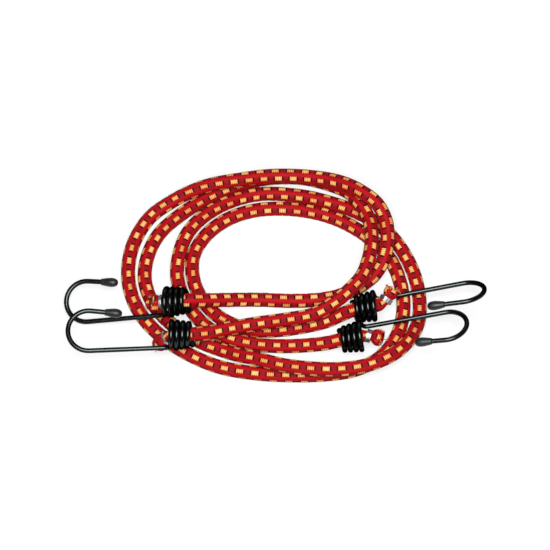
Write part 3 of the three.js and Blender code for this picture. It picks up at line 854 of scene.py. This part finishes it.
def scatter(name, ends, shape, sizes, seed, material):  # ends: points and directions at each end of a cord
    points, directions = (np.array(sum(lists, [])) for lists in zip(*ends))
    mesh = bpy.data.meshes.new(name + "Points")
    mesh.from_pydata(points.tolist(), [], [])
    attribute = mesh.attributes.new("direction", "FLOAT_VECTOR", "POINT")
    attribute.data.foreach_set("vector", directions.ravel())
    return bakedNodes(name, mesh, *scatterNodes, {
        "Shape": shape, "Least size": sizes[0], "Most size": sizes[1], "Seed": seed, "Finish": material})


# One loose yarn: a thin tube that curls over and tapers
def yarnShape():
    sides = looseYarn["sides"]
    share = np.linspace(0, 1, looseYarn["rings"])
    bend = math.radians(looseYarn["curl"]) * share
    arc = looseYarn["length"] / bend[-1]
    centre = arc * np.stack([1 - np.cos(bend), 0 * bend, np.sin(bend)], axis=1)
    inward = np.stack([np.cos(bend), 0 * bend, -np.sin(bend)], axis=1)
    angle = np.arange(sides) / sides * 2 * np.pi
    radius = looseYarn["radius"] * (1 - looseYarn["taper"] * share ** 2)
    points = centre[:, None] + radius[:, None, None] * around(angle, inward[:, None], np.array([0, 1, 0]))
    last = (len(points) - 1) * sides
    faces = gridFaces(len(points), sides)[:, ::-1].tolist() + [list(range(last, last + sides))]
    return smoothPiece("yarnShape", points * mm, faces)


def strandShape():
    sides = cutStrands["sides"]
    share, chamfer = cutStrands["chamfer"]
    rings = [(share, 0), (1, -chamfer), (1, -cutStrands["length"])]
    points = lathe(rings, sides) * (cutStrands["radius"], cutStrands["radius"], 1)
    faces = gridFaces(len(rings), sides).tolist() + [list(range(sides))]
    return smoothPiece("strandShape", points * mm, faces)


def strandPoints(name, line, atStart, random):
    centre, side, rise, out = endFrame(line, atStart)
    face = facingAngle(side, rise) + math.radians(cuts[name]["face"])
    reach = int(cutStrands["bundleRadius"] / cutStrands["spacing"]) + 2
    points = []
    for i in range(-reach, reach + 1):
        for j in range(-reach, reach + 1):
            x = (i + j / 2) * cutStrands["spacing"]
            y = j * math.sqrt(0.75) * cutStrands["spacing"]
            if math.hypot(x, y) <= cutStrands["bundleRadius"]:
                facingShare = 0.5 + 0.5 * (x * math.cos(face) + y * math.sin(face)) / jacket["radius"]
                depth = cutStrands["depth"] + random.uniform(-1, 1) * cutStrands["uneven"]
                depth += cuts[name]["skew"] * facingShare
                points.append(centre + (x * side + y * rise - depth * out) * mm)
    return points, [out] * len(points)


# Loose yarns round the mouth and in tangles on the ball, as points and directions
def yarnPoints(name, line, atStart, tint, random):
    cordName = name.rsplit("_", 1)[0]
    _, side, rise, out = endFrame(line, atStart)
    facing = facingAngle(side, rise)
    rim, tangle = looseYarn["rim"], looseYarn["tangle"]
    rimCount, tangles = looseYarn["ends"][name][tint]
    places = [(random.uniform(0, rim["depth"]), random.uniform(0, 2 * np.pi), rim) for _ in range(rimCount)]
    for fromCut, degrees, count, spread in tangles:
        for _ in range(count):
            places.append((max(tangle["least"], random.normal(fromCut, tangle["along"])),
                           facing + math.radians(random.normal(degrees, spread)), tangle))
    points, directions = [], []
    for fromCut, angle, kind in places:
        distance = np.array([fromCut * mm if atStart else line.length - fromCut * mm])
        place = slant(cordName, line, distance, np.array([[angle]]))[0]
        middle, s, r = (v[0] for v in line.frames(place))
        radial = around(angle, s, r)
        radius = cordRadius(cordName, distance, line.length)[0] - kind["sink"] * mm
        points.append(middle + radius * radial)
        stray = random.normal(0, looseYarn["stray"], 3)
        lift = kind["lift"] - (stray @ radial if kind is tangle else 0)
        directions.append(unit(stray + lift * radial + random.uniform(*looseYarn["outward"]) * out))
    return points, directions


rubberMaterial = speckledFinish("cutRubber", cutStrands["finish"])
yarnMaterials = {
    tint: speckledFinish(name, {**looseYarn["finish"], "colours": jacket[tint]})
    for tint, name in (("gold", "combedGoldYarn"), ("red", "combedRedYarn"))}
scatterNodes = scatterTree()
yarn, strand = yarnShape(), strandShape()
cores, strands, frays = {}, {}, []
for cordName, line in cordLines.items():
    random = np.random.default_rng(cutStrands["seed"])
    inset = cutStrands["coreInset"] * mm
    inside = np.arange(inset, line.length - inset, cutStrands["coreStep"] * mm)
    cores[cordName] = sweepWire(cordName + "_core_tube", line.at(inside), np.ones(len(inside)),
                                cutStrands["coreRadius"], cutStrands["coreSides"], rubberMaterial)
    ends = [end for end in cordEnds if end[1] is line]
    cutEnds = [strandPoints(*end, random) for end in ends]
    strands[cordName] = scatter(cordName + "_strands", cutEnds, strand, (1.0, 1.0), cutStrands["seed"],
                                rubberMaterial)
    for k, (tint, material) in enumerate(yarnMaterials.items()):
        random = np.random.default_rng(looseYarn["seed"] + k)
        frayedEnds = [yarnPoints(*end, tint, random) for end in ends]
        frays.append(scatter(cordName + "_" + tint + "_yarns", frayedEnds, yarn, looseYarn["sizes"],
                             looseYarn["seed"], material))
    print(cordName, len(strands[cordName].data.polygons), "faces of strands")
for shape in (yarn, strand):
    bpy.data.objects.remove(shape)


# Riding and replacing
for cordName, line in cordLines.items():
    sleeve = sleeves[cordName]
    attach(sleeve, "cords")
    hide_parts(cordName + "_sleeve")
    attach(cores[cordName], "cords")
    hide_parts(cordName + "_core")
    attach(strands[cordName], "cords")
    for end in ("left", "right"):
        name = cordName + "_" + end
        for piece, node, slot in ((hooks[name], "_hook", "hook_wire"),
                                  (caps[name], "_tip_cap", "tip_vinyl")):
            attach(piece, name + "_swivel_hook")
            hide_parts(name + node)
        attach(clips[name], "cords")
        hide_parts(name + "_crimp_clip")
    every = np.linspace(0, line.length, 400)
    line.at(every)
for fray in frays:
    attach(fray, "cords")


# Floor and light: a pale table under a large soft box near the camera, with a weak one low behind the cords
# and a dim even surround
studio = {
    "floorSize": 60.0,  # m
    "floorDrop": 0.05,  # mm below the cords
    "floorColour": "#8c8c8c",  # as it lights the cords
    "floorSeen": "#ffffff",  # as the camera and the gloss see it
    "shadowShare": 0.3,  # how much of the shade on the floor is seen
    "surround": 0.06,
    "lamps": {  # size and distance in m, degrees from the camera's side over the top, and watts
        "softBox": (1.0, 1.5, 64, 31),
        "backBox": (2.0, 2.4, 150, 6),
    },
}


def paleTable():
    material, tree = newMaterial("paleTable")
    ray = addNode(tree, "ShaderNodeLightPath").node.outputs
    seen = ray["Is Camera Ray"]
    for kind in ("Is Glossy Ray", "Is Transmission Ray"):
        seen = addNode(tree, "ShaderNodeMath", [seen, ray[kind]], operation="MAXIMUM")
    white = addNode(tree, "ShaderNodeEmission", {"Color": (1, 1, 1, 1), "Strength": 1.0})
    lighting, shown = linear(studio["floorColour"]), linear(studio["floorSeen"])
    colour = addNode(tree, "ShaderNodeMix", {0: seen, 6: lighting, 7: shown}, out=2, data_type="RGBA")
    paint = addNode(tree, "ShaderNodeBsdfDiffuse", {"Color": colour})
    share = addNode(tree, "ShaderNodeMath", [seen, 1 - studio["shadowShare"]], operation="MULTIPLY")
    mixed = addNode(tree, "ShaderNodeMixShader", [share, paint, white])
    addNode(tree, "ShaderNodeOutputMaterial", {"Surface": mixed})
    return material


def makeStudio():
    half, low = studio["floorSize"] / 2, -studio["floorDrop"] * mm
    corners = [(x, y, low) for x, y in ((-half, -half), (half, -half), (half, half), (-half, half))]
    smoothPiece("table", corners, [(0, 1, 2, 3)], paleTable())
    scene.world = bpy.data.worlds.new("surround")
    scene.world.use_nodes = True
    surround = scene.world.node_tree.nodes["Background"].inputs
    surround["Color"].default_value = (1, 1, 1, 1)
    surround["Strength"].default_value = studio["surround"]
    for name, (size, distance, degrees, power) in studio["lamps"].items():
        lampData = bpy.data.lights.new(name, "AREA")
        lampData.shape = "DISK"
        lampData.size = size
        lampData.energy = power
        aim(newObject(name, lampData), degrees, distance)
    scene.view_settings.view_transform = "Standard"
    print("studio ready")


makeStudio()
